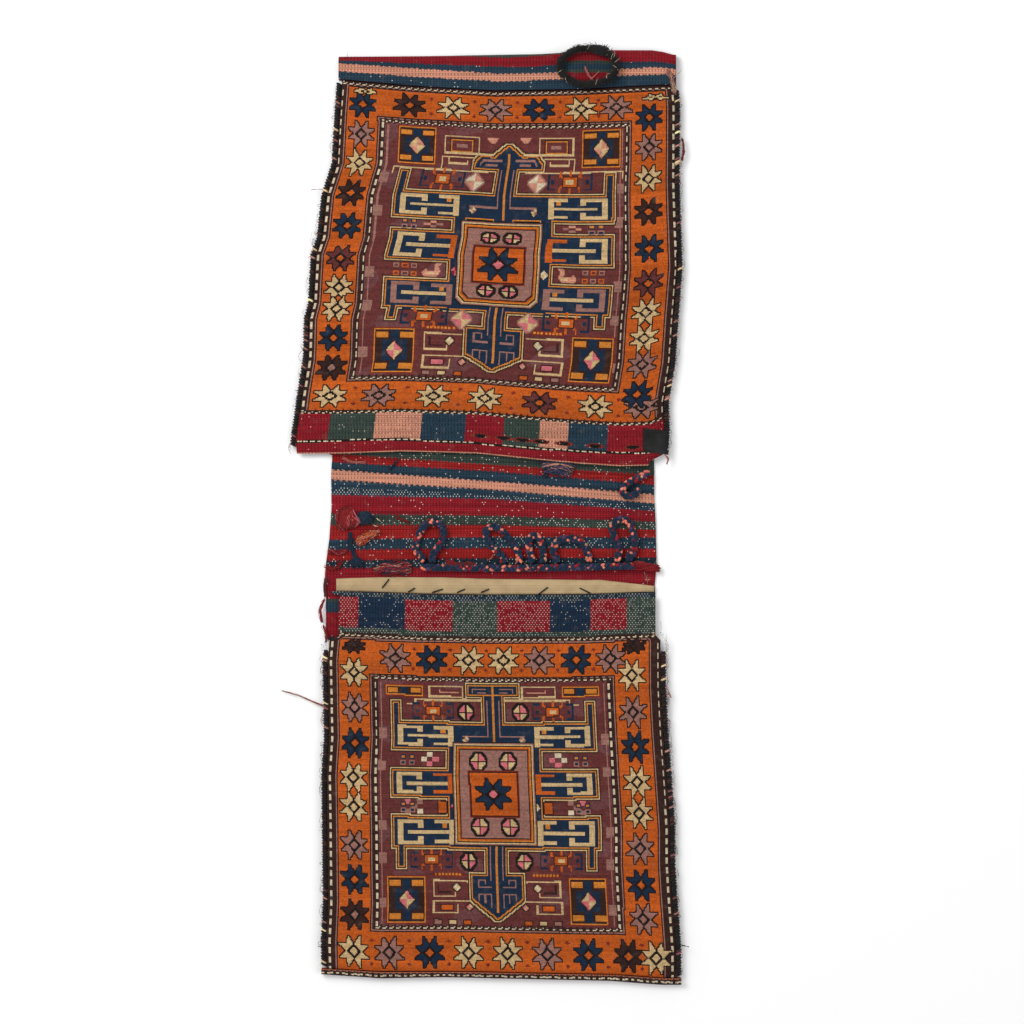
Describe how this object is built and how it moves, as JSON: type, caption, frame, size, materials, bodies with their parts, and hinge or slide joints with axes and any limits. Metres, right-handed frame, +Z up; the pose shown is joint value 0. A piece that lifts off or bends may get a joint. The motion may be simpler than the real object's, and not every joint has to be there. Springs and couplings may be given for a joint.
{
  "type": "double saddle bag",
  "caption": "Flat-woven double saddle bag laid flat: two open pockets with wrapped-weave faces, a striped bridge, sewn sides and braided closing loops.",
  "frame": {"origin": "middle of the bag's box on the ground it lies on", "axes": "+Y along the bag towards the upper pocket's folded end, +X to the right as seen from above, +Z up off the decorated side"},
  "size_m": [0.5291, 1.2688, 0.0263],
  "materials": {
    "kilim_wool": "matte weft-faced wool in narrow stripes of red, blue, moss and salmon",
    "face_wool": "matte wrapped-weft wool with an orange star border and a dark patterned field",
    "goat_hair": "coarse dark goat hair",
    "cotton_tape": "cream cotton tape",
    "black_cloth": "matte black cloth",
    "braid_wool": "navy braided wool with salmon flecks",
    "red_wool": "loose red wool",
    "salmon_wool": "loose salmon wool",
    "purple_wool": "felted blue and purple wool"
  },
  "bodies": {
    "root": {"striped_back_and_bridge": "kilim_wool", "top_end_fold": "kilim_wool", "bottom_end_fold": "face_wool", "upper_pocket_face": "face_wool", "lower_pocket_face": "face_wool", "upper_seam_left": "goat_hair", "upper_seam_right": "goat_hair", "lower_seam_left": "goat_hair", "lower_seam_right": "goat_hair", "mouth_tape": "cotton_tape", "corner_patch": "black_cloth", "goat_hair_ring": "goat_hair", "braid_along_bridge": "braid_wool", "braid_loop_1": "braid_wool", "braid_loop_2": "braid_wool", "braid_loop_3": "braid_wool", "braid_loop_4": "braid_wool", "braid_loop_5": "braid_wool", "braid_end_at_lip": "braid_wool", "wool_tuft_red": "red_wool", "wool_tuft_navy": "braid_wool", "wool_tuft_salmon": "salmon_wool", "wool_tuft_blue_end": "braid_wool", "wool_tuft_knotted": "salmon_wool", "wool_tuft_at_lip": "purple_wool"}
  },
  "joints": []
}
